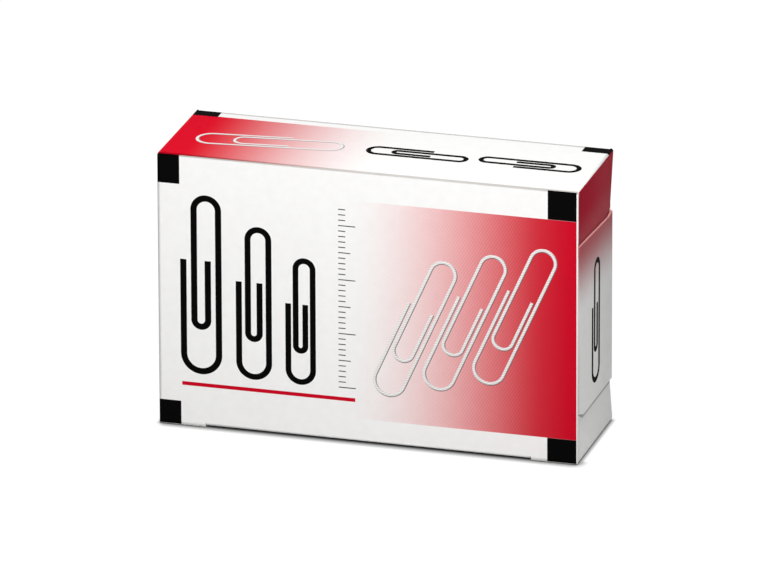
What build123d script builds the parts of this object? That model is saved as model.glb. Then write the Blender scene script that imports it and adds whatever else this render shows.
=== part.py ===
from build123d import *
import cmath
import math
import os
import random

# A folding paperboard carton of wire paper clips, standing on its bottom wall.
# Origin at the middle of the underside, +X to the right end, the lid faces -Y, +Z up.

# Closed carton, outside sizes in millimetres
width = 76.0
height = 50.5
depth = 23.2

# Coated board and its folds
board = 0.42
crease_inner = 0.06
crease_outer = crease_inner + board
glue_film = 0.08

# End flaps, which fold forward from the back panel over the glue tabs
flap_low = 7.6
flap_high = 39.0
flap_rise = 1.2
flap_flare = 0.4
flare_length = 2.2
flap_relief = 1.05
relief_length = 3.0
flap_corner = 1.2

# Glue tabs, which fold in from the top and bottom walls
top_tab_length = 17.0
bottom_tab_length = 15.0
tab_taper = 2.5
tab_gap = 0.15
lean_gap = 0.3
glue_margin = 1.2

# Dust flaps, which fold in behind the lid from the front edges of the end flaps
dust_length = 12.0
dust_corner = 3.0
dust_taper = 2.0
dust_gap = 0.1

# Lid with its slit-locked tuck flap
shoulder = 8.4
lid_lift = 0.1
wall_setback = 1.3
back_inset = 0.1
slit = 0.12
tuck_length = 12.0
tuck_corner = 5.0
tuck_tilt = 12.0
tuck_clear = 0.1
ear_setback = 1.2
ear_clear = 0.75

# Wire clips of the usual double-loop form
clip_length = 33.0
clip_width = 7.2
wire = 0.8
leg_pitch = 1.1
free_end = 21.0
inner_loop = 8.3
bend_chords = 4

# The heap of clips inside
clip_layers = 20
clips_per_layer = 5
heap_limit = 38.0
heap_gap = 0.2
wall_gap = 0.1
tuck_room = 0.9
settle_step = 0.6
settle_tries = 30
settle_choices = 8
layer_tries = 20
core_steps = 6
heap_seed = 11

# Planes and lines that several pieces share
half_width = width / 2
lid_face = -depth / 2
lid_back = lid_face + board
back_face = depth / 2
back_inside = back_face - board
tab_face = half_width - board - glue_film
wall_half = half_width - crease_outer
dust_front = lid_back + dust_gap
dust_back = dust_front + board
flap_front = dust_front + crease_outer
flap_top = flap_high + flap_rise
flap_root = flap_high + flap_flare
flap_bottom = flap_low + flap_relief
lean_top = max(flap_root, flap_top) + tab_gap + lean_gap
lean_bottom = min(flap_low, flap_bottom) - tab_gap - lean_gap
fold_half = half_width - shoulder - slit
fold_y = lid_face + crease_outer
wall_front = lid_face + wall_setback
tilt = math.radians(tuck_tilt)
tuck_under = crease_outer / math.cos(tilt) - (wall_front - fold_y) * math.tan(tilt)
fold_z = board + tuck_clear + tuck_under


def plate(plane, points, offset, thickness=board, corners=None, radius=0.0):
    # Flat board with the given outline; the corners listed by index are rounded.
    outline = make_face(Polyline(*points, close=True))
    if corners:
        chosen = [Vector(*points[index]) for index in corners]
        picked = [
            vertex
            for vertex in outline.vertices()
            if any((Vector(vertex.X, vertex.Y) - point).length < 1e-6 for point in chosen)
        ]
        outline = fillet(picked, radius)
    return extrude(plane.offset(offset) * outline, amount=thickness)


def crease(plane, centre, start, turn, low, high):
    # Folded board: a ring sector about the fold's centre, run along the fold.
    outer = CenterArc(centre, crease_outer, start, turn)
    inner = CenterArc(centre, crease_inner, start, turn)
    section = make_face([outer, Line(outer @ 1, inner @ 1), inner, Line(inner @ 0, outer @ 0)])
    return extrude(plane.offset(low) * section, amount=high - low)


def back_panel():
    # Wide where the end flaps fold off it; above and below, its side edges follow the leaning glue tabs.
    side, flap_side = half_width - board - back_inset, half_width - crease_outer
    narrow = tab_face - board - back_inset
    right = [
        (side, crease_outer),
        (narrow, lean_bottom),
        (narrow, flap_low),
        (flap_side, flap_low),
        (flap_side, flap_root),
        (narrow, flap_root),
        (narrow, lean_top),
        (side, height - crease_outer),
    ]
    left = [(-x, z) for x, z in reversed(right)]
    return plate(Plane.XZ, right + left, -back_face)


def top_wall():
    front, rear = lid_face + crease_outer, back_face - crease_outer
    points = [(-wall_half, front), (wall_half, front), (wall_half, rear), (-wall_half, rear)]
    fold = crease(Plane.YZ, (rear, height - crease_outer), 0, 90, -wall_half, wall_half)
    return plate(Plane.XY, points, height - board) + fold


def bottom_wall():
    # The front edge is cut back between the lid's shoulders, where the lid's fold drops past it.
    rear = back_face - crease_outer
    corner_front = lid_back + tab_gap
    recess = fold_half + tab_gap
    points = [
        (-wall_half, rear),
        (-wall_half, corner_front),
        (-recess, corner_front),
        (-recess, wall_front),
        (recess, wall_front),
        (recess, corner_front),
        (wall_half, corner_front),
        (wall_half, rear),
    ]
    fold = crease(Plane.YZ, (rear, crease_outer), 270, 90, -wall_half, wall_half)
    return plate(Plane.XY, points, 0) + fold


def end_flap():
    # Right-hand flap; its upper edge climbs to the front and its lower front corner is cut back.
    rear = back_face - crease_outer
    points = [
        (rear, flap_low),
        (rear, flap_root),
        (rear - flare_length, flap_high),
        (flap_front, flap_top),
        (flap_front, flap_bottom),
        (flap_front + relief_length, flap_low),
    ]
    sheet = plate(Plane.YZ, points, half_width - board, corners=(5,), radius=flap_corner)
    return sheet + crease(Plane.XY, (half_width - crease_outer, rear), 0, 90, flap_low, flap_root)


def dust_crease():
    centre = (half_width - crease_outer, flap_front)
    return crease(Plane.XY, centre, 270, 90, flap_bottom, flap_top)


def dust_flap():
    # Right-hand flap, narrowing to rounded corners at its free edge.
    fold, tip = half_width - crease_outer, half_width - dust_length
    low, high = flap_bottom + dust_taper, flap_top - dust_taper
    points = [(fold, flap_bottom), (fold, flap_top), (tip, high), (tip, low)]
    return plate(Plane.XZ, points, -dust_back, corners=(2, 3), radius=dust_corner)


def glue_tab(length, flap_edge, front_edge, lean):
    # Right-hand tab hanging from the top wall. It covers the side edge of the back panel, leans in to
    # pass under the end flap, and below its front step passes behind the dust flap's fold.
    front, rear = fold_y + tab_gap / 2, back_inside - tab_gap
    root, tip = height - crease_outer, height - length
    step, rear_step = front_edge + tab_gap, flap_edge + tab_gap
    profile = [
        (half_width, root),
        (tab_face, lean),
        (tab_face, tip),
        (tab_face - board, tip),
        (tab_face - board, lean),
        (half_width - board, root),
    ]
    outline = [
        (front, root),
        (back_face, root),
        (back_face, rear_step),
        (rear, rear_step),
        (rear - tab_taper, tip),
        (flap_front + tab_taper, tip),
        (flap_front, step),
        (front, step),
    ]
    bent = plate(Plane.XZ, profile, -back_face, thickness=back_face - front)
    cut = plate(Plane.YZ, outline, tab_face - board, thickness=half_width - tab_face + board)
    return (bent & cut) + crease(Plane.XZ, (wall_half, root), 0, 90, -back_face, -front)


def glue_strips():
    # One film of adhesive on each tab, under the end flap.
    y_low, y_high = flap_front + tab_taper, back_inside - tab_taper - glue_margin
    spans = [
        (height - top_tab_length + glue_margin, flap_high - glue_margin),
        (flap_low + glue_margin, bottom_tab_length - glue_margin),
    ]
    strips = []
    for low, high in spans:
        points = [(y_low, low), (y_high, low), (y_high, high), (y_low, high)]
        strip = plate(Plane.YZ, points, tab_face, thickness=glue_film)
        strips += [strip, mirror(strip, about=Plane.YZ)]
    return strips


def lid_panel():
    # Two shoulders stand down past the tuck fold and cover the corners of the bottom wall.
    notch = half_width - shoulder
    top = height - crease_outer
    points = [
        (-half_width, lid_lift),
        (-notch, lid_lift),
        (-notch, fold_z),
        (notch, fold_z),
        (notch, lid_lift),
        (half_width, lid_lift),
        (half_width, top),
        (-half_width, top),
    ]
    return plate(Plane.XZ, points, -lid_back)


def lid_crease():
    centre = (lid_face + crease_outer, height - crease_outer)
    return crease(Plane.YZ, centre, 90, 90, -half_width, half_width)


def tuck_crease():
    return crease(Plane.YZ, (fold_y, fold_z), 180, 90 + tuck_tilt, -fold_half, fold_half)


def tuck_flap():
    # Drawn flat from the fold, then tilted up about the fold's centre. The ears beside the slits
    # reach almost to the ends of the carton, behind the lid's shoulders.
    ear_half = tab_face - board - ear_clear
    points = [
        (-fold_half, 0),
        (fold_half, 0),
        (fold_half, ear_setback),
        (ear_half, ear_setback),
        (ear_half, tuck_length),
        (-ear_half, tuck_length),
        (-ear_half, ear_setback),
        (-fold_half, ear_setback),
    ]
    flat = plate(Plane.XY, points, -crease_outer, corners=(4, 5), radius=tuck_corner)
    return Pos(0, fold_y, fold_z) * Rot(tuck_tilt, 0, 0) * flat


def clip_route():
    # Centre line of the wire from one free end to the other, along X, with the big loop at -X.
    start = -clip_length / 2 + wire / 2
    outer = (clip_width - wire) / 2
    middle = outer - leg_pitch / 2
    inner = outer - leg_pitch
    end = -clip_length / 2 + free_end
    bends = [
        (start + outer, 0.0, outer, 90),
        (clip_length / 2 - wire / 2 - middle, -leg_pitch / 2, middle, 270),
        (start + inner_loop + inner, 0.0, inner, 90),
    ]
    route = [(end, outer)]
    for x, y, radius, first in bends:
        for chord in range(bend_chords + 1):
            angle = math.radians(first + 180 * chord / bend_chords)
            route.append((x + radius * math.cos(angle), y + radius * math.sin(angle)))
    route.append((end, -inner))
    return route


def mitred(route, offset):
    # The route moved sideways by the offset, with mitred corners.
    moved = []
    for index, (x, y) in enumerate(route):
        before = route[max(index - 1, 0)]
        after = route[min(index + 1, len(route) - 1)]
        headings = []
        for (x1, y1), (x2, y2) in ((before, (x, y)), ((x, y), after)):
            run = math.hypot(x2 - x1, y2 - y1)
            if run > 0:
                headings.append(((x2 - x1) / run, (y2 - y1) / run))
        side_x = -sum(heading[1] for heading in headings)
        side_y = sum(heading[0] for heading in headings)
        size = math.hypot(side_x, side_y)
        reach = offset * len(headings) / size
        moved.append((x + side_x / size * reach, y + side_y / size * reach))
    return moved


def clip_outline():
    # Edge of the wire in its own plane.
    route = clip_route()
    return mitred(route, wire / 2) + mitred(route, -wire / 2)[::-1]


def wire_clip():
    # One clip lying in the XZ plane, its wire drawn as a square bar with mitred bends.
    return plate(Plane.XZ, clip_outline(), -wire / 2, thickness=wire)


def reach(point, core):
    # Distance from a point to a core line; both are complex numbers, x + z * 1j.
    start, end = core
    along = end - start
    share = ((point - start) * along.conjugate()).real / abs(along) ** 2
    return abs(point - start - along * min(max(share, 0), 1))


def apart(first, second, least):
    # True if two core lines are nowhere nearer than the least distance.
    for core, other in ((first, second), (second, first)):
        for step in range(core_steps + 1):
            point = core[0] + (core[1] - core[0]) * step / core_steps
            if reach(point, other) < least:
                return False
    return True


def heap_floor(y):
    # Clips at the back stand on the bottom wall; in front they lie over the tuck flap and its swing.
    tip = fold_y + tuck_length * math.cos(tilt) + crease_outer * math.sin(tilt)
    if y - wire / 2 > tip + heap_gap:
        return board + wall_gap
    rise = (min(y + wire / 2, tip) - fold_y) * math.tan(tilt)
    return fold_z - crease_inner / math.cos(tilt) + rise + tuck_room


def settle(draw, y, half_core, margin):
    # One upright layer: each clip slides down at a random place and turn until it rests on another.
    side = tab_face - board - heap_gap
    floor = heap_floor(y)
    cores, places = [], []
    for _ in range(clips_per_layer):
        choices = []
        for _ in range(settle_tries):
            turn = draw.uniform(0, 360)
            heading = cmath.rect(half_core, math.radians(turn))
            wide, tall = abs(heading.real) + margin, abs(heading.imag) + margin
            centre = complex(draw.uniform(wide - side, side - wide), floor + tall)
            while centre.imag + tall < heap_limit:
                core = (centre - heading, centre + heading)
                if all(apart(core, other, 2 * margin + heap_gap) for other in cores):
                    choices.append((centre.imag + tall, centre, turn, core))
                    break
                centre += settle_step * 1j
            if len(choices) == settle_choices:
                break
        if choices:
            top, centre, turn, core = min(choices, key=lambda choice: choice[0])
            cores.append(core)
            face = draw.choice((0, 180))
            places.append(Pos(centre.real, y, centre.imag) * Rot(0, -turn, 0) * Rot(face, 0, 0))
    return places


def heap():
    # Layers from the back panel forward to the dust flaps, each a list of clips.
    draw = random.Random(heap_seed)
    clip = wire_clip()
    half_core = (clip_length - clip_width) / 2
    margin = max(reach(complex(x, z), (-half_core, half_core)) for x, z in clip_outline())
    rear = back_inside - wall_gap - wire / 2
    front = dust_back + heap_gap + wire / 2
    layers = []
    for number in range(clip_layers):
        y = rear + (front - rear) * number / (clip_layers - 1)
        places = []
        for _ in range(layer_tries):
            places = max(places, settle(draw, y, half_core, margin), key=len)
            if len(places) == clips_per_layer:
                break
        layers.append([place * clip for place in places])
    return layers


def upside_down(piece):
    return mirror(piece, about=Plane.XY.offset(height / 2))


nodes = {
    "back_panel": [back_panel()],
    "top_wall": [top_wall()],
    "bottom_wall": [bottom_wall()],
    "lid_panel": [lid_panel()],
    "lid_crease": [lid_crease()],
    "tuck_flap": [tuck_flap()],
    "tuck_crease": [tuck_crease()],
    "glue_strips": glue_strips(),
}
sided = {
    "end_flap": end_flap(),
    "dust_flap": dust_flap(),
    "dust_crease": dust_crease(),
    "top_glue_tab": glue_tab(top_tab_length, flap_root, flap_top, lean_top),
    "bottom_glue_tab": upside_down(
        glue_tab(bottom_tab_length, height - flap_low, height - flap_bottom, height - lean_bottom)
    ),
}
for name, piece in sided.items():
    nodes[f"right_{name}"] = [piece]
    nodes[f"left_{name}"] = [mirror(piece, about=Plane.YZ)]
for number, clips in enumerate(heap(), start=1):
    if clips:
        nodes[f"clip_layer_{number:02d}"] = clips

os.makedirs("parts", exist_ok=True)
for name, pieces in nodes.items():
    solids = [solid for piece in pieces for solid in piece.solids()]
    export_step(solids[0] if len(solids) == 1 else Compound(solids), f"parts/{name}.step")

clip_count = sum(len(pieces) for name, pieces in nodes.items() if name.startswith("clip_layer"))
print(len(nodes), "nodes,", clip_count, "clips")
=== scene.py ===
import math

import bmesh
import bpy
from mathutils import Matrix, Vector
from mathutils.bvhtree import BVHTree


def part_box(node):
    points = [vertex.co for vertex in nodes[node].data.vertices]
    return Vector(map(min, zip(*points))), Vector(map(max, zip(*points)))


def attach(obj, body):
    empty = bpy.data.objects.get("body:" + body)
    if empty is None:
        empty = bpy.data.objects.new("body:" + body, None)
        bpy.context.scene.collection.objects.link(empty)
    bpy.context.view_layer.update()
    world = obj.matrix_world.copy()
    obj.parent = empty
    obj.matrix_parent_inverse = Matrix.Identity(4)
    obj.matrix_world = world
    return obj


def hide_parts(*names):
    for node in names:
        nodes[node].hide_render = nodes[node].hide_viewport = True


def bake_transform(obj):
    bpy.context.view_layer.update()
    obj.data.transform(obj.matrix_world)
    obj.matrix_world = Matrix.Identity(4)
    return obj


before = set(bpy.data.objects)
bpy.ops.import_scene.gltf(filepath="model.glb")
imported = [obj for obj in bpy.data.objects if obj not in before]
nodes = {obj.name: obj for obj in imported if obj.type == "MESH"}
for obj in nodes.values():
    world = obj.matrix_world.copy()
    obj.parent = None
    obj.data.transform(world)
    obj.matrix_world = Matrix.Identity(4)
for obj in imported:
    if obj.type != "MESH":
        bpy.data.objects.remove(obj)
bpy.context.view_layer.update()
scene = bpy.context.scene
mm = 0.001


class Plug:
    # one socket of a shader; sums of plugs and numbers add Math nodes

    def __init__(self, tree, socket=None):
        self.tree = tree
        self.socket = socket

    def node(self, kind, settings, sockets, out=0):
        made = self.tree.nodes.new(kind)
        for name, value in settings.items():
            setattr(made, name, value)
        for key, value in sockets.items():
            if isinstance(value, Plug):
                self.tree.links.new(value.socket, made.inputs[key])
            else:
                made.inputs[key].default_value = value
        return Plug(self.tree, made.outputs[out])

    def feed(self, shader, name):
        self.tree.links.new(self.socket, shader.inputs[name])

    def calc(self, operation, *values):
        return self.node("ShaderNodeMath", {"operation": operation}, dict(enumerate(values)))

    def __add__(self, other):
        return self.calc("ADD", self, other)

    def __radd__(self, other):
        return self.calc("ADD", other, self)

    def __sub__(self, other):
        return self.calc("SUBTRACT", self, other)

    def __rsub__(self, other):
        return self.calc("SUBTRACT", other, self)

    def __mul__(self, other):
        return self.calc("MULTIPLY", self, other)

    def __rmul__(self, other):
        return self.calc("MULTIPLY", other, self)

    def __truediv__(self, other):
        return self.calc("DIVIDE", self, other)

    def __abs__(self):
        return self.calc("ABSOLUTE", self)

    def least(self, other):
        return self.calc("MINIMUM", self, other)

    def most(self, other):
        return self.calc("MAXIMUM", self, other)

    def fract(self):
        return self.calc("FRACT", self)

    def hyp(self, other):
        return self.calc("SQRT", self * self + other * other)

    def past(self, edge, soft, side):
        # 1 past the edge, over it or under it by the side, with a soft step in mm
        steep = {"operation": "MULTIPLY_ADD", "use_clamp": True}
        sockets = {0: self, 1: side / soft, 2: 0.5 - side * edge / soft}
        return self.node("ShaderNodeMath", steep, sockets)

    def above(self, edge, soft=0.05):
        return self.past(edge, soft, 1)

    def below(self, edge, soft=0.05):
        return self.past(edge, soft, -1)

    def amid(self, low, high):
        return self.above(low) * self.below(high)

    def beyond(self, low, high):
        return self.below(low) + self.above(high)

    def ramp(self, start, end):
        # smooth rise from 0 at start to 1 at end
        sockets = {"Value": self, "From Min": start, "From Max": end}
        return self.node("ShaderNodeMapRange", {"interpolation_type": "SMOOTHSTEP"}, sockets)

    def between(self, ends):
        # from the first value where this is 0 to the second where it is 1
        return ends[0] + (ends[1] - ends[0]) * self

    def noise(self, size, detail):
        # grain of about this size, in the unit of the place
        sockets = {"Vector": self, "Scale": 1 / size, "Detail": detail}
        return self.node("ShaderNodeTexNoise", {}, sockets)

    def split(self):
        first = self.node("ShaderNodeSeparateXYZ", {}, {0: self})
        return [Plug(self.tree, out) for out in first.socket.node.outputs]

    def mix(self, under, over, blend="MIX"):
        # this mask lays one colour over another
        settings = {"data_type": "RGBA", "blend_type": blend}
        return self.node("ShaderNodeMix", settings, {0: self, 6: under, 7: over}, 2)

    def bump(self, shader, strength, depth):
        # this height, counted in depths, tilts the shader's normals
        sockets = {"Strength": strength, "Distance": depth, "Height": self}
        self.node("ShaderNodeBump", {}, sockets, "Normal").feed(shader, "Normal")


def tone(red, green, blue):
    # screen colour as the linear one that sockets take
    def linear(part):
        return part / 12.92 if part < 0.04045 else ((part + 0.055) / 1.055) ** 2.4

    return (linear(red / 255), linear(green / 255), linear(blue / 255), 1.0)


def newFinish(name, settings, restName=None):
    # material, its shader, and the place on the piece in mm
    material = bpy.data.materials.new(name)
    material.use_nodes = True
    shader = material.node_tree.nodes["Principled BSDF"]
    for socket, value in settings.items():
        shader.inputs[socket].default_value = value
    start = Plug(material.node_tree)
    if restName:
        place = start.node("ShaderNodeAttribute", {"attribute_name": restName}, {}, "Vector")
    else:
        place = start.node("ShaderNodeTexCoord", {}, {}, "Object")
    place = place.node("ShaderNodeVectorMath", {"operation": "SCALE"}, {0: place, "Scale": 1 / mm})
    return material, shader, place


# Camera, fitted to the carton's corners
camera = {
    "azimuth": 16.244, "elevation": 20.255, "roll": -0.163,
    "distance": 2.0547, "aim": (0.0, 0.0, 0.02525),
    "lens": 550.8, "sensor": 36.0, "shift": (-0.00214, -0.0023), "clip": (0.1, 20.0),
}


def placeCamera():
    azimuth, elevation = math.radians(camera["azimuth"]), math.radians(camera["elevation"])
    back = Vector((
        math.sin(azimuth) * math.cos(elevation),
        -math.cos(azimuth) * math.cos(elevation),
        math.sin(elevation),
    ))
    right = Vector((math.cos(azimuth), math.sin(azimuth), 0.0))
    turn = Matrix((right, back.cross(right), back)).transposed().to_4x4()
    data = bpy.data.cameras.new("photoCamera")
    data.sensor_width = camera["sensor"]
    data.lens = camera["lens"]
    data.shift_x, data.shift_y = camera["shift"]
    data.clip_start, data.clip_end = camera["clip"]
    holder = bpy.data.objects.new("photoCamera", data)
    scene.collection.objects.link(holder)
    roll = Matrix.Rotation(math.radians(camera["roll"]), 4, "Z")
    spot = Vector(camera["aim"]) + back * camera["distance"]
    holder.matrix_world = Matrix.Translation(spot) @ turn @ roll
    scene.camera = holder


placeCamera()
print("camera placed")

# Inks and board colours
inks = {
    "paper": tone(243, 243, 242),
    "red": tone(199, 13, 39),
    "thinRed": tone(224, 16, 42),
    "topRed": tone(215, 13, 39),
    "endRed": tone(175, 34, 54),
    "black": tone(9, 9, 9),
    "wirePale": tone(243, 242, 241),
    "wireGrey": tone(186, 180, 178),
    "wireDark": tone(74, 66, 66),
}

# The clip as it is drawn in print and bent in wire, in mm
clip = {
    "length": 33.0, "width": 7.2, "wire": 0.8, "pitch": 1.1,
    "freeEnd": 21.0, "innerLoop": 8.3, "iconPitch": 1.95, "sides": 8, "bendSteps": 10,
    "endRoom": 1.05,
}


def clipBends(pitch):
    # (centre along, centre across, radius) of the three bends, and where the wire ends
    start = -clip["length"] / 2 + clip["wire"] / 2
    outer = (clip["width"] - clip["wire"]) / 2
    middle = outer - pitch / 2
    inner = outer - pitch
    bends = (
        (start + outer, 0.0, outer),
        (clip["length"] / 2 - clip["wire"] / 2 - middle, -pitch / 2, middle),
        (start + clip["innerLoop"] + inner, 0.0, inner),
    )
    return bends, -clip["length"] / 2 + clip["freeEnd"]


# Soft steps and reach of a drawn clip's parts, in the clip's own mm
clipDrawing = {"tie": 0.001, "overlap": 0.02, "soft": 0.01, "far": 99.0}


def clipLine(a, b, spot, turn, scale, pitch):
    # distance from the middle of a drawn clip's wire, in the clip's own mm
    cos, sin = math.cos(math.radians(turn)) / scale, math.sin(math.radians(turn)) / scale
    along = a * cos + (b * sin - (spot[0] * cos + spot[1] * sin))
    across = b * cos - (a * sin - (spot[0] * sin - spot[1] * cos))
    (big, right, small), end = clipBends(pitch)
    upper = across.above(0.0, clipDrawing["tie"])
    bigStop = upper * (end - right[0]) + right[0]
    smallStop = upper * (right[0] - end) + end
    bigLoop = abs((along - big[0]).least(0.0).hyp(across) - big[2])
    smallLoop = abs((along - small[0]).least(0.0).hyp(across) - small[2])
    rightLoop = abs((along - right[0]).most(0.0).hyp(across - right[1]) - right[2])
    # each loop counts only as far as its own wire goes
    overlap, soft, far = clipDrawing["overlap"], clipDrawing["soft"], clipDrawing["far"]
    bigLoop = bigLoop + (along - bigStop).above(overlap, soft) * far
    smallLoop = smallLoop + (along - smallStop).above(overlap, soft) * far
    rightLoop = rightLoop + along.below(right[0] - overlap, soft) * far
    return bigLoop.least(smallLoop).least(rightLoop), along + across


# Wire drawn as a picture: width, shading across it and the ridges rolled into it
wireDrawing = {
    "wire": 0.66, "soft": 0.09, "step": 0.06, "lean": (-0.5, 0.8), "rim": (0.15, 0.95),
    "ridge": 0.62, "ridgeEdge": (0.27, 0.3), "ridgeShare": 0.55,
}


def wirePicture(colour, a, b, pictures):
    # pale ridged wire over the colour, one clip for each (spot, turn, scale)
    step = wireDrawing["step"]
    for spot, turn, scale in pictures:
        line, slant = clipLine(a, b, spot, turn, scale, clip["pitch"])
        # a second look a little down to the right tells the lit side from the shaded one
        lean = clipLine(a + step, b - step, spot, turn, scale, clip["pitch"])[0] - line
        lean = lean * (scale / step / math.sqrt(2))
        half = wireDrawing["wire"] / 2 / scale
        ridge = abs((slant / wireDrawing["ridge"]).fract() - 0.5).above(*wireDrawing["ridgeEdge"])
        ridge = ridge * wireDrawing["ridgeShare"]
        body = ridge.mix(inks["wirePale"], inks["wireGrey"])
        rim = [half * part for part in wireDrawing["rim"]]
        shaded = lean.ramp(*wireDrawing["lean"]) * line.ramp(*rim)
        body = shaded.mix(body, inks["wireDark"])
        colour = line.below(half, wireDrawing["soft"]).mix(colour, body)
    return colour


def boldClips(colour, a, b, pictures):
    # plain heavy line drawings, one clip for each (spot, turn, scale, stroke)
    for spot, turn, scale, stroke in pictures:
        line = clipLine(a, b, spot, turn, scale, clip["iconPitch"])[0]
        colour = line.below(stroke / 2 / scale).mix(colour, inks["black"])
    return colour


tick = {
    "every": 1.0, "half": 0.09, "length": 1.3, "longerAt": (5.0, 10.0), "longer": 0.9, "spare": 0.3,
}


def ruler(colour, along, across, start, end, line):
    # millimetre ticks along one direction, longer at every 5 and 10
    def near(step, width):
        return (abs(((along - start) / step + 0.5).fract() - 0.5) * step).below(width)

    spare, reach = tick["spare"], tick["length"]
    for step in tick["longerAt"]:
        reach = near(step, spare) * tick["longer"] + reach
    ticks = near(tick["every"], tick["half"]) * along.amid(start - spare, end + spare)
    ticks = ticks * (across - line).above(0.0) * (across - line - reach).below(0.0)
    return ticks.mix(colour, inks["black"])


# Screen lines of the red ink, in mm
screen = {"slant": 0.62, "pitch": 0.53, "strength": 0.42}


def redFade(colour, rise, a, b, within, ink, thin):
    # red ink laid as slanting screen lines that close up to a solid, brighter where it is thin
    lines = abs(((a - b * screen["slant"]) / screen["pitch"]).fract() - 0.5) * 2.0 - 0.5
    cover = rise + lines * rise * (1.0 - rise) * screen["strength"]
    solid = (cover * cover * cover).mix(inks[thin], inks[ink])
    return (cover * within).mix(colour, solid)


def inkRise(way, plan):
    # most of the ink comes in over the fade, and the rest over the tail
    share = plan["share"]
    return way.ramp(*plan["fade"]) * share + way.ramp(*plan["tail"]) * (1 - share)


# Prints, in mm: fades and panels from edge to edge, corner blocks, drawn clips, rulers and rules
frontPrint = {
    "fade": (-4.6, 32.0), "tail": (24.0, 38.0), "share": 0.95,
    "panel": (4.57, 44.93), "margin": (37.83, 0.0022), "foot": 0.2,
    "blocks": (-34.0, 32.55, 4.57, 44.94),
    "wires": (((8.6, 22.4), 66.0, 0.86), ((17.6, 24.4), 66.0, 0.86), ((26.6, 26.4), 66.0, 0.86)),
    "bold": (
        ((-30.2, 26.6), 90.0, 1.0, 1.15),
        ((-20.6, 24.1), 90.0, 0.85, 1.1),
        ((-12.1, 21.6), 90.0, 0.7, 1.05),
    ),
    "ruler": (10.1, 43.1, -5.2), "rule": (-33.8, -2.2, 7.6, 8.3),
}


def insideMargin(x, z):
    # the white margin at the right narrows downwards
    edge, slant = frontPrint["margin"]
    return (x + z * slant).below(edge)


def frontArt(place):
    x, _, z = place.split()
    margin = insideMargin(x, z)
    panel = z.amid(*frontPrint["panel"]) * margin
    colour = redFade(inks["paper"], inkRise(x, frontPrint), x, z, panel, "red", "thinRed")
    left, right, low, high = frontPrint["blocks"]
    corners = x.beyond(left, right) * z.beyond(low, high) * margin * z.above(frontPrint["foot"])
    colour = corners.mix(colour, inks["black"])
    colour = wirePicture(colour, x, z, frontPrint["wires"])
    colour = boldClips(colour, x, z, frontPrint["bold"])
    colour = ruler(colour, z, x, *frontPrint["ruler"])
    start, end, low, high = frontPrint["rule"]
    return (x.amid(start, end) * z.amid(low, high)).mix(colour, inks["red"])


topPrint = {
    "fade": (2.0, -34.0), "band": 8.9, "blocks": (-33.15, 33.05, 8.7),
    "wires": (((-20.5, -1.3), 6.0, 0.8),),
    "bold": (((6.0, -0.4), 0.0, 0.55, 0.9), ((26.2, -0.4), 180.0, 0.55, 0.9)),
    # foldShade and its tone paint shade along the rear fold
    "foldShade": ((-40.1, -39.5), (-38.5, -39.1)), "foldShadeTone": tone(200, 197, 194),
}


def topFade(x, y):
    band = y.below(topPrint["band"])
    return redFade(inks["paper"], x.ramp(*topPrint["fade"]), x, y, band, "topRed", "topRed")


def topArt(place):
    x, y, z = place.split()
    left, right, rear = topPrint["blocks"]
    corners = x.beyond(left, right) * y.above(rear)
    colour = corners.mix(topFade(x, y), inks["black"])
    colour = wirePicture(colour, x, y, topPrint["wires"])
    colour = boldClips(colour, x, y, topPrint["bold"])
    # painted shade greys the top along its rear fold
    rise, fall = topPrint["foldShade"]
    foldShade = (y - z).ramp(*rise) * (y - z).ramp(*fall)
    return foldShade.mix(colour, topPrint["foldShadeTone"], "MULTIPLY")


endPrint = {
    "flap": {"fade": (27.0, 39.0), "tail": (36.0, 50.0), "share": 0.85},
    "tab": {"fade": (27.0, 39.0), "tail": (38.0, 46.0), "share": 0.93},
    "bold": (((0.4, 22.6), 90.0, 0.68, 1.0),),
}


def endFade(y, z, panel):
    # the ink closes up sooner on the tab than on the flap
    rise = inkRise(z, endPrint[panel])
    return redFade(inks["paper"], rise, y, z, 1.0, "endRed", "endRed")


def endArt(place):
    _, y, z = place.split()
    return boldClips(endFade(y, z, "flap"), y, z, endPrint["bold"])


def dustFoldArt(place):
    _, y, z = place.split()
    return endFade(y, z, "flap")


tabFold = (12.24, 0.06)  # z less the size of x at the middle of the fold, and the soft step


def topTabArt(place):
    # past the middle of the top fold the top's own print runs on
    x, y, z = place.split()
    return (z - abs(x)).above(*tabFold).mix(endFade(y, z, "tab"), topArt(place))


# painted shadow under the end flaps' edges: its line on the bottom tabs, and its dark tone
paintedFlapShadow = {
    "height": 6.95, "soft": 0.35, "share": 0.55, "corner": -6.6, "slope": 0.5,
    "tone": tone(62, 57, 55),
}


def bottomTabArt(place):
    # a dark line of painted shadow runs along the end flap's lower edge, which rises at its front
    # corner
    _, y, z = place.split()
    rise = (paintedFlapShadow["corner"] - y).most(0.0) * paintedFlapShadow["slope"]
    line = (z - rise).above(paintedFlapShadow["height"], paintedFlapShadow["soft"]) * paintedFlapShadow["share"]
    return line.mix(inks["paper"], paintedFlapShadow["tone"])


backPrint = {
    "fade": (-8.0, -36.0), "panel": (4.3, 45.05), "blocks": (-33.15, 33.05, 4.3, 45.2),
    "bold": (((16.0, 28.0), 180.0, 1.0, 1.15),),
    "ruler": (-0.5, 32.5, 18.5),
}


def backArt(place):
    x, _, z = place.split()
    panel = z.amid(*backPrint["panel"])
    colour = redFade(inks["paper"], x.ramp(*backPrint["fade"]), x, z, panel, "red", "thinRed")
    left, right, low, high = backPrint["blocks"]
    colour = (x.beyond(left, right) * z.beyond(low, high)).mix(colour, inks["black"])
    colour = boldClips(colour, x, z, backPrint["bold"])
    return ruler(colour, x, z, *backPrint["ruler"])


lidFoldPrint = {
    # foldShade and its tone paint shade along the middle of the fold
    "middle": (38.74, 0.06), "foldShade": (38.78, 0.3, 0.16), "foldShadeTone": tone(198, 195, 192),
}


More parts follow.
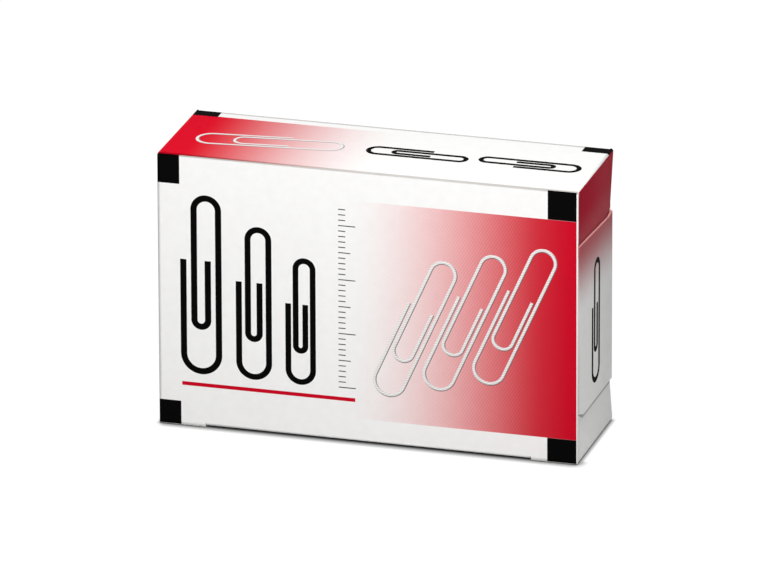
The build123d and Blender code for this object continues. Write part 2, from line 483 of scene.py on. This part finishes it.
def lidFoldArt(place):
    # the lid's black corners below the middle of the fold, the top's fade above it
    x, y, z = place.split()
    left, right = frontPrint["blocks"][:2]
    corners = x.beyond(left, right) * insideMargin(x, z)
    corners = corners.mix(inks["paper"], inks["black"])
    bend = z + y
    colour = bend.above(*lidFoldPrint["middle"]).mix(corners, topFade(x, y))
    # painted shade greys a band across the middle of the fold
    spot, half, soft = lidFoldPrint["foldShade"]
    foldShade = abs(bend - spot).below(half, soft)
    return foldShade.mix(colour, lidFoldPrint["foldShadeTone"], "MULTIPLY")


bare = {"rub": (9.0, 4.0), "rubEdge": (0.62, 0.5), "share": 0.18, "tone": tone(214, 212, 208)}


def bareArt(place):
    rub = place.noise(*bare["rub"]).above(*bare["rubEdge"])
    return (rub * bare["share"]).mix(inks["paper"], bare["tone"])


# Clay-coated outside: faint mottle, fine fibres under the varnish, slightly uneven sheet.
# Each grain is a size in mm and its detail.
coated = {
    "shader": {"Specular IOR Level": 0.004, "Coat Roughness": 0.3, "Coat IOR": 1.06},
    "cloud": (1.7, 5.0), "mottle": 0.35, "mottleEdge": (0.55, 0.6),
    "mottleTone": tone(242, 240, 237),
    "fibre": (0.22, 4.0), "rough": (0.42, 0.58), "fibreRough": 0.6, "cloudRough": 0.4,
    "varnish": (4.0, 3.0), "coat": (0.0, 0.03),
    "wave": (14.0, 1.0), "fibreHeight": 0.35, "waveHeight": 3.0, "strength": 1.0, "depth": 0.00002,
    # how the painted shade in a step fades with closeness, and its samples
    "stepShadeEdge": (0.95, 0.6), "stepShadeSamples": 16,
}


def coatedFinish(name, art, restName=None, bow=None, rolls=(), step=None):
    material, shader, place = newFinish(name, coated["shader"], restName)
    colour = art(place)
    if step:
        # painted shade: the colour darkens by closeness in the step along the next piece's edge;
        # reach in mm, and how much
        settings, sockets = {"samples": coated["stepShadeSamples"]}, {"Distance": step[0] * mm}
        clear = place.node("ShaderNodeAmbientOcclusion", settings, sockets, "AO")
        colour = (clear.ramp(*coated["stepShadeEdge"]) * step[1]).mix(colour, paintedFlapShadow["tone"])
    cloud = place.noise(*coated["cloud"])
    stain = cloud.above(*coated["mottleEdge"]) * coated["mottle"]
    stain.mix(colour, coated["mottleTone"], "MULTIPLY").feed(shader, "Base Color")
    fibre = place.noise(*coated["fibre"])
    grain = fibre * coated["fibreRough"] + cloud * coated["cloudRough"]
    grain.between(coated["rough"]).feed(shader, "Roughness")
    place.noise(*coated["varnish"]).between(coated["coat"]).feed(shader, "Coat Weight")
    height = fibre * coated["fibreHeight"] + place.noise(*coated["wave"]) * coated["waveHeight"]
    if bow:
        # the sheet stands out a little in the middle: way, middle and radius in mm
        off = place.split()[bow[0]] - bow[1]
        height = height - off * off * (mm / coated["depth"] / 2 / bow[2])
    for way, side, start, radius in rolls:
        # and it rolls over towards an edge: way, side, where that starts and its radius in mm
        past = (place.split()[way] * side - start).most(0.0)
        height = height - past * past * (mm / coated["depth"] / 2 / radius)
    height.bump(shader, coated["strength"], coated["depth"])
    return material


# Uncoated inside of the sheet, with its fibres drawn out one way
inside = {
    "shader": {"Specular IOR Level": 0.25}, "stretch": (0.45, 1.0, 2.2),
    "felt": (0.55, 6.0), "feltEdge": (0.3, 0.72),
    "light": tone(233, 230, 223), "dark": tone(216, 211, 201),
    "flecks": (0.3, 2.0), "fleckEdge": (0.76, 0.06), "fleckShare": 0.55,
    "fleckTone": tone(190, 181, 167), "rough": (0.78, 0.92), "strength": 0.8, "depth": 0.00003,
}


def insideFinish():
    material, shader, place = newFinish("plainInside", inside["shader"])
    strands = place.node("ShaderNodeMapping", {}, {"Vector": place, "Scale": inside["stretch"]})
    felt = strands.noise(*inside["felt"])
    colour = felt.ramp(*inside["feltEdge"]).mix(inside["light"], inside["dark"])
    fleck = strands.noise(*inside["flecks"]).above(*inside["fleckEdge"]) * inside["fleckShare"]
    fleck.mix(colour, inside["fleckTone"]).feed(shader, "Base Color")
    felt.between(inside["rough"]).feed(shader, "Roughness")
    felt.bump(shader, inside["strength"], inside["depth"])
    return material


# Cut edges of the sheet, with loose fibres
cut = {
    "shader": {"Specular IOR Level": 0.1}, "fuzz": (0.16, 5.0), "fuzzEdge": (0.45, 0.75),
    "light": tone(247, 246, 243), "dark": tone(222, 217, 208),
    "stain": tone(250, 110, 105), "stained": (37.3, 38.3, 41.0), "stainShare": 0.6,
    "rough": (0.8, 0.95), "strength": 0.7, "depth": 0.00004,
}


def cutFinish():
    material, shader, place = newFinish("cutEdge", cut["shader"])
    fuzz = place.noise(*cut["fuzz"])
    colour = fuzz.ramp(*cut["fuzzEdge"]).mix(cut["light"], cut["dark"])
    # red ink has rubbed into the end flaps' upper edges
    x, _, z = place.split()
    side, low, high = cut["stained"]
    stain = abs(x).above(side) * z.amid(low, high) * cut["stainShare"]
    stain.mix(colour, cut["stain"]).feed(shader, "Base Color")
    fuzz.between(cut["rough"]).feed(shader, "Roughness")
    fuzz.bump(shader, cut["strength"], cut["depth"])
    return material


# Bright drawn wire with rolled-in ridges
steel = {
    "shader": {"Metallic": 1.0}, "streak": (0.5, 4.0), "streakEdge": (0.35, 0.7),
    "bright": tone(214, 215, 218), "dull": tone(168, 170, 175), "rough": (0.2, 0.42),
    "ridge": 0.55, "ridgeEdge": (0.1, 0.4), "slant": (0.62, 0.4), "strength": 0.6, "depth": 0.00005,
}


def steelFinish():
    material, shader, place = newFinish("clipSteel", steel["shader"])
    x, y, z = place.split()
    streak = place.noise(*steel["streak"])
    colour = streak.ramp(*steel["streakEdge"]).mix(steel["bright"], steel["dull"])
    colour.feed(shader, "Base Color")
    streak.between(steel["rough"]).feed(shader, "Roughness")
    upright, deep = steel["slant"]
    turns = (x + z * upright + y * deep) / steel["ridge"]
    ridge = abs(turns.fract() - 0.5).ramp(*steel["ridgeEdge"])
    ridge.bump(shader, steel["strength"], steel["depth"])
    return material


# Dried glue in pools
glue = {
    "shader": {"Roughness": 0.4, "Specular IOR Level": 0.5},
    "pool": (2.2, 3.0), "poolEdge": (0.35, 0.7), "strength": 0.7, "depth": 0.00003,
    "thin": tone(226, 219, 198), "thick": tone(204, 190, 156),
}


def glueFinish():
    material, shader, place = newFinish("driedGlue", glue["shader"])
    pool = place.noise(*glue["pool"])
    colour = pool.ramp(*glue["poolEdge"]).mix(glue["thin"], glue["thick"])
    colour.feed(shader, "Base Color")
    pool.bump(shader, glue["strength"], glue["depth"])
    return material


# How the sheet bows and rolls over on the front and on the ends, and the painted shade in the tabs'
# steps
frontSheet = {"bow": (2, 25.0, 400.0), "rolls": ((0, -1, 37.45, 0.36), (2, -1, -0.75, 0.85))}
endSheet = {"bow": (1, 0.0, 50.0), "rolls": ((1, -1, 9.9, 3.0),)}
tabStepShade = (0.45, 0.5)

finishes = {
    "front": coatedFinish("frontPrint", frontArt, **frontSheet),
    "top": coatedFinish("topPrint", topArt),
    "end": coatedFinish("endPrint", endArt, **endSheet),
    "topTab": coatedFinish("topTabPrint", topTabArt, step=tabStepShade, **endSheet),
    "bottomTab": coatedFinish("bottomTabPrint", bottomTabArt, **endSheet),
    "back": coatedFinish("backPrint", backArt),
    "bare": coatedFinish("bareCoated", bareArt),
    "lidFold": coatedFinish("lidFoldPrint", lidFoldArt, "restPlace"),
    "dustFold": coatedFinish("dustFoldPrint", dustFoldArt, "restPlace"),
    "tuckFold": coatedFinish("tuckFoldCoated", bareArt, "restPlace"),
    "inside": insideFinish(),
    "cut": cutFinish(),
    "steel": steelFinish(),
    "glue": glueFinish(),
}
print("finishes mixed:", len(finishes))


def addPiece(name, bm, materials):
    mesh = bpy.data.meshes.new(name)
    bm.to_mesh(mesh)
    bm.free()
    for material in materials:
        mesh.materials.append(material)
    piece = bpy.data.objects.new(name, mesh)
    scene.collection.objects.link(piece)
    return piece


# Faces of the sheet, in the order of a board piece's materials
outerFace, innerFace, cutFace = range(3)


def sheetFinishes(finish):
    return finishes[finish], finishes["inside"], finishes["cut"]


# Flat and folded board pieces: node, body, slot, finish, and which ways its outside faces
right, left, front, back, up, down = (
    Vector(way) for way in ((1, 0, 0), (-1, 0, 0), (0, -1, 0), (0, 1, 0), (0, 0, 1), (0, 0, -1))
)
boards = {
    "lidBoard": ("lid_panel", "lid", "lid_print", "front", (front,)),
    "tuckBoard": ("tuck_flap", "tuck", "plain_board", "bare", (down,)),
    "topBoard": ("top_wall", "tray", "carton_print", "top", (up, back)),
    "bottomBoard": ("bottom_wall", "tray", "carton_print", "bare", (down, back)),
    "backBoard": ("back_panel", "tray", "carton_print", "back", (back,)),
    "rightEndBoard": ("right_end_flap", "tray", "carton_print", "end", (right, back)),
    "leftEndBoard": ("left_end_flap", "tray", "carton_print", "end", (left, back)),
    "rightTopTab": ("right_top_glue_tab", "tray", "carton_print", "topTab", (right, up)),
    "leftTopTab": ("left_top_glue_tab", "tray", "carton_print", "topTab", (left, up)),
    "rightBottomTab": ("right_bottom_glue_tab", "tray", "carton_print", "bottomTab", (right, down)),
    "leftBottomTab": ("left_bottom_glue_tab", "tray", "carton_print", "bottomTab", (left, down)),
    "rightDustBoard": ("right_dust_flap", "right_dust", "plain_board", "bare", (front,)),
    "leftDustBoard": ("left_dust_flap", "left_dust", "plain_board", "bare", (front,)),
}
# Edges between two angles are rounded by so many mm: the folds' facets first, then the cut edges
boardEdge = {
    "rounds": ((4, 50, 0.04), (50, 180, 0.05)), "segments": 2,
    "widest": 60.0, "touch": 0.01, "sharp": 50.0,
}
boardFace = {"square": 0.97, "facing": 0.3}  # cosines
weld = {"board": 0.002, "fold": 0.0005, "flat": 1}  # doubles in mm, and flat faces in degrees
flapCut = {"low": 0.42, "high": 0.3, "middle": 25.0}  # what comes off the end flaps' edges
foldNodes = ("lid_crease", "tuck_crease", "right_dust_crease", "left_dust_crease")


def boardTree(node):
    bm = bmesh.new()
    bm.from_mesh(nodes[node].data)
    tree = BVHTree.FromBMesh(bm)
    bm.free()
    return tree


boardNodes = [plan[0] for plan in boards.values()]
boardTrees = {node: boardTree(node) for node in (*boardNodes, *foldNodes)}


def runsOn(edge, node):
    # True where the board goes on into the next piece, so that no groove may show
    middle = (edge.verts[0].co + edge.verts[1].co) / 2
    others = (tree for other, tree in boardTrees.items() if other != node)
    return any(tree.find_nearest(middle, boardEdge["touch"] * mm)[0] for tree in others)


def cleanCopy(node):
    # the node's mesh without doubles and without edges inside flat faces
    bm = bmesh.new()
    bm.from_mesh(nodes[node].data)
    bmesh.ops.remove_doubles(bm, verts=bm.verts, dist=weld["board"] * mm)
    flat = math.radians(weld["flat"])
    bmesh.ops.dissolve_limit(bm, angle_limit=flat, verts=bm.verts, edges=bm.edges)
    return bm


def boardPiece(name, node, finish, outside):
    bm = cleanCopy(node)
    if node.endswith("end_flap"):
        for vert in bm.verts:
            under = vert.co.z < flapCut["middle"] * mm
            vert.co.z += flapCut["low"] * mm if under else -flapCut["high"] * mm
    # print on the outside, plain board on the inside, and cut edges between them
    facing = boardFace["facing"]
    for face in bm.faces:
        ways = [face.normal.dot(way) for way in outside]
        inFold = max(abs(part) for part in face.normal) < boardFace["square"]
        inFold = inFold and abs(face.normal.dot(outside[0].cross(outside[-1]))) < facing
        if max(ways) > facing:
            face.material_index = outerFace
        elif ways[0] < -facing or inFold:
            face.material_index = innerFace
        else:
            face.material_index = cutFace
    for low, high, offset in boardEdge["rounds"]:
        edges = [
            edge for edge in bm.edges
            if math.radians(low) < edge.calc_face_angle(0) <= math.radians(high)
            and not runsOn(edge, node)
        ]
        bmesh.ops.bevel(
            bm, geom=edges, offset=offset * mm, affect="EDGES",
            segments=boardEdge["segments"], profile=0.5, material=-1, clamp_overlap=True,
        )
    for face in bm.faces:
        face.smooth = face.calc_area() < boardEdge["widest"] * mm * mm
    for edge in bm.edges:
        edge.smooth = edge.calc_face_angle(0) < math.radians(boardEdge["sharp"])
    piece = addPiece(name, bm, sheetFinishes(finish))
    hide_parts(node)
    return piece


for name, (node, body, slot, finish, outside) in boards.items():
    piece = boardPiece(name, node, finish, outside)
    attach(piece, body)
print("boards cut:", len(boards))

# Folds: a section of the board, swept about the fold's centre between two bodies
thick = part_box("lid_panel")[1][1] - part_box("lid_panel")[0][1]


def acrossFold(low, high, y, z):
    # section of a fold that runs along X, from corner to corner in y and z
    inner, outer = zip(y, z)
    return ((low[0], *inner), (high[0], *inner), (high[0], *outer), (low[0], *outer))


def uprightFold(low, high, x):
    # section of a fold that runs along Z, at its rear
    rear, foot, top = high[1], low[2] + flapCut["low"] * mm, high[2] - flapCut["high"] * mm
    return ((x[0], rear, foot), (x[1], rear, foot), (x[1], rear, top), (x[0], rear, top))


def lidFoldPlan(low, high):
    section = acrossFold(low, high, (high[1], high[1]), (high[2] - thick, high[2]))
    return section, (0.0, high[1], low[2])


def tuckFoldPlan(low, high):
    section = acrossFold(low, high, (low[1], low[1] + thick), (high[2], high[2]))
    return section, (0.0, low[1] + high[2] - low[2], high[2])


def rightFoldPlan(low, high):
    return uprightFold(low, high, (high[0] - thick, high[0])), (low[0], high[1], 0.0)


def leftFoldPlan(low, high):
    return uprightFold(low, high, (low[0] + thick, low[0])), (high[0], high[1], 0.0)


folds = {
    "lidFold": {
        "node": "lid_crease", "bodies": ("tray", "lid"), "slot": "lid_print", "finish": "lidFold",
        "plan": lidFoldPlan, "axis": (1, 0, 0), "turn": 90, "trim": 0.22,
    },
    "tuckFold": {
        "node": "tuck_crease", "bodies": ("lid", "tuck"), "slot": "lid_print", "finish": "tuckFold",
        "plan": tuckFoldPlan, "axis": (1, 0, 0), "turn": 102,
    },
    "rightDustFold": {
        "node": "right_dust_crease", "bodies": ("tray", "right_dust"), "slot": "carton_print",
        "finish": "dustFold", "plan": rightFoldPlan, "axis": (0, 0, 1), "turn": -90,
    },
    "leftDustFold": {
        "node": "left_dust_crease", "bodies": ("tray", "left_dust"), "slot": "carton_print",
        "finish": "dustFold", "plan": leftFoldPlan, "axis": (0, 0, 1), "turn": 90,
    },
}
foldSteps = 14
foldFacing = 0.7


def foldPiece(name, fold):
    corners, centre = fold["plan"](*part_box(fold["node"]))
    centre, axis = Vector(centre), Vector(fold["axis"])
    bm = bmesh.new()
    section = bm.faces.new([bm.verts.new(corner) for corner in corners])
    start = section.calc_center_median()
    bmesh.ops.spin(
        bm, geom=[section, *section.edges, *section.verts], cent=centre, axis=axis,
        angle=math.radians(fold["turn"]), steps=foldSteps, use_duplicate=False,
    )
    bmesh.ops.remove_doubles(bm, verts=bm.verts, dist=weld["fold"] * mm)
    bmesh.ops.recalc_face_normals(bm, faces=bm.faces)
    # the corners are cut back where the neighbouring folds round off
    if "trim" in fold:
        reach = max(vert.co.z for vert in bm.verts) - centre.z
        for vert in bm.verts:
            inset = fold["trim"] * mm * (vert.co.z - centre.z) / reach
            vert.co.x -= math.copysign(inset, vert.co.x)
    rest = bm.verts.layers.float_vector.new("restPlace")
    for vert in bm.verts:
        vert[rest] = vert.co
    for face in bm.faces:
        reach = face.calc_center_median() - centre
        reach -= axis * reach.dot(axis)
        facing = face.normal.dot(reach.normalized())
        face.smooth = abs(facing) > foldFacing
        if face.smooth:
            face.material_index = outerFace if facing > 0 else innerFace
        else:
            face.material_index = cutFace
    arm = start - centre
    arm -= axis * arm.dot(axis)
    end = centre + Matrix.Rotation(math.radians(fold["turn"]), 3, axis) @ arm
    piece = addPiece(name, bm, sheetFinishes(fold["finish"]))
    centre + arm
    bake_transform(piece)
    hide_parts(fold["node"])


for name, fold in folds.items():
    foldPiece(name, fold)
print("folds bent:", len(folds))


def bentWire():
    # one clip along X, across Z, from its outer free end to its inner one
    (big, right, small), end = clipBends(clip["pitch"])
    bm = bmesh.new()
    turn = Matrix.Rotation(math.radians(-90), 4, "Y")
    spot = Matrix.Translation((end * mm, 0.0, big[2] * mm))
    bmesh.ops.create_circle(
        bm, cap_ends=True, radius=clip["wire"] / 2 * mm, segments=clip["sides"], matrix=spot @ turn,
    )
    tip = bm.faces[:][0]
    legs = (big[0] - end, right[0] - big[0], small[0] - right[0], end - small[0])
    for leg, bend in zip(legs, (big, right, small, None)):
        grown = bmesh.ops.extrude_face_region(bm, geom=[tip, *tip.edges, *tip.verts])
        tip = next(part for part in grown["geom"] if isinstance(part, bmesh.types.BMFace))
        bmesh.ops.translate(bm, verts=tip.verts, vec=(leg * mm, 0.0, 0.0))
        if bend:
            turned = bmesh.ops.spin(
                bm, geom=[tip, *tip.edges, *tip.verts], axis=(0, -1, 0), angle=math.pi,
                cent=(bend[0] * mm, 0.0, bend[1] * mm), steps=clip["bendSteps"],
                use_duplicate=False,
            )
            tip = next(part for part in turned["geom_last"] if isinstance(part, bmesh.types.BMFace))
    bmesh.ops.recalc_face_normals(bm, faces=bm.faces)
    for face in bm.faces:
        face.smooth = len(face.verts) == 4
    mesh = bpy.data.meshes.new("bentWire")
    bm.to_mesh(mesh)
    bm.free()
    return mesh


def clipPlaces(node):
    # each clip's place, read from the two square ends of its wire
    bends, end = clipBends(clip["pitch"])
    outer = bends[0][2]
    longest = clip["endRoom"] * clip["wire"] * mm
    bm = cleanCopy(node)
    ends = [
        face for face in bm.faces
        if len(face.verts) == 4 and max(edge.calc_length() for edge in face.edges) < longest
    ]
    places = []
    for first in ends:
        island, fresh = {first}, [first]
        while fresh:
            face = fresh.pop()
            for edge in face.edges:
                for other in edge.link_faces:
                    if other not in island:
                        island.add(other)
                        fresh.append(other)
        second = next(face for face in ends if face in island and face is not first)
        spot, along = first.calc_center_median(), first.normal.normalized()
        across = (spot - second.calc_center_median()).normalized()
        reach = max((vert.co - spot).dot(across) for face in island for vert in face.verts)
        if reach > clip["wire"] * mm:  # this is the inner end
            continue
        origin = spot - along * end * mm - across * outer * mm
        basis = Matrix((along, across.cross(along), across)).transposed().to_4x4()
        places.append(Matrix.Translation(origin) @ basis)
    bm.free()
    return places


wireMesh = bentWire()
clipNodes = sorted(name for name in nodes if name.startswith("clip_layer"))
clipCount = 0
for node in clipNodes:
    bm = bmesh.new()
    for place in clipPlaces(node):
        before = len(bm.verts)
        bm.from_mesh(wireMesh)
        bm.verts.ensure_lookup_table()
        bmesh.ops.transform(bm, matrix=place, verts=bm.verts[before:])
        clipCount += 1
    bmesh.ops.recalc_face_normals(bm, faces=bm.faces)
    piece = addPiece("clips" + node[-2:], bm, (finishes["steel"],))
    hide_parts(node)
    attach(piece, "tray")
print("clips bent:", clipCount)

# The glue strips are shown as they are, in their own finish
for slot in nodes["glue_strips"].material_slots:
    slot.material = finishes["glue"]

# Studio: white floor and surround, a softbox above the front, weak fills at the right and behind
studio = {
    "surround": 0.41, "floorSize": 3.0, "floorDrop": 0.02, "floorTone": (0.54, 0.54, 0.54, 1.0),
    "floorWhite": (0.95, 0.95, 0.95, 1.0), "floorGlow": 0.95, "floorLevel": 1.03,
    "shadeReach": 0.0009, "frontReach": 0.0018, "frontStart": (-0.009, -0.0102),
    "leftStart": (-0.0384, -0.037), "shadeSamples": 16,
}
lamps = {
    "softbox": {
        "spot": (0.03, -0.21, 0.3), "aim": (0.0, 0.0, 0.03),
        "power": 0.985, "size": 0.14, "shine": True,
    },
    "endFill": {
        "spot": (0.3, -0.12, 0.2), "aim": (0.038, 0.0, 0.025),
        "power": 0.1, "size": 0.12, "shine": False,
    },
    "rearFill": {
        "spot": (-0.16, 0.34, 0.05), "aim": (0.0, 0.0, 0.025),
        "power": 0.6, "size": 0.2, "shine": False,
    },
}


def seenDirectly(start):
    # 1 for what the camera sees, also in metal, and 0 for light on surfaces
    seen, glossy, clear = (
        start.node("ShaderNodeLightPath", {}, {}, ray)
        for ray in ("Is Camera Ray", "Is Glossy Ray", "Is Transmission Ray")
    )
    return seen.most(glossy).most(clear)


def buildSurround():
    world = bpy.data.worlds.new("surround")
    scene.world = world
    world.use_nodes = True
    light = world.node_tree.nodes["Background"]
    light.inputs["Color"].default_value = (1.0, 1.0, 1.0, 1.0)
    start = Plug(world.node_tree)
    seenDirectly(start).most(studio["surround"]).feed(light, "Strength")


def buildFloor():
    material = bpy.data.materials.new("floorWhite")
    material.use_nodes = True
    tree = material.node_tree
    tree.nodes.remove(tree.nodes["Principled BSDF"])
    start = Plug(tree)
    # the floor seen is white with the carton's shadow painted into its glow from closeness, and
    # what sends light back is greyer
    matt = start.node("ShaderNodeBsdfDiffuse", {}, {"Color": studio["floorTone"]})
    white = start.node("ShaderNodeBsdfDiffuse", {}, {"Color": studio["floorWhite"]})
    samples = {"samples": studio["shadeSamples"]}
    near, far = (
        start.node("ShaderNodeAmbientOcclusion", samples, {"Distance": studio[reach]}, "AO")
        for reach in ("shadeReach", "frontReach")
    )
    # the painted shadow reaches farther in front of the carton
    x, y, _ = start.node("ShaderNodeTexCoord", {}, {}, "Object").split()
    ahead = x.ramp(*studio["leftStart"]) * y.ramp(*studio["frontStart"])
    paintedFloorShadow = near + (far - near) * ahead
    sockets = {"Color": paintedFloorShadow * paintedFloorShadow, "Strength": studio["floorLevel"]}
    glow = start.node("ShaderNodeEmission", {}, sockets)
    lit = start.node("ShaderNodeMixShader", {}, {0: studio["floorGlow"], 1: white, 2: glow})
    both = start.node("ShaderNodeMixShader", {}, {0: seenDirectly(start), 1: matt, 2: lit})
    both.feed(tree.nodes["Material Output"], "Surface")

    bm = bmesh.new()
    bmesh.ops.create_grid(bm, x_segments=1, y_segments=1, size=studio["floorSize"])
    bmesh.ops.translate(bm, verts=bm.verts, vec=(0.0, 0.0, -studio["floorDrop"] * mm))
    addPiece("floor", bm, (material,))


def hangLamps():
    for name, plan in lamps.items():
        lamp = bpy.data.lights.new(name, "AREA")
        lamp.shape = "SQUARE"
        lamp.size = plan["size"]
        lamp.energy = plan["power"]
        holder = bpy.data.objects.new(name, lamp)
        spot, aim = Vector(plan["spot"]), Vector(plan["aim"])
        holder.location = spot
        holder.rotation_mode = "QUATERNION"
        holder.rotation_quaternion = (spot - aim).to_track_quat("Z", "Y")
        holder.visible_camera = False
        holder.visible_glossy = plan["shine"]
        scene.collection.objects.link(holder)


buildSurround()
buildFloor()
hangLamps()
scene.view_settings.view_transform = "Standard"
print("studio lit")
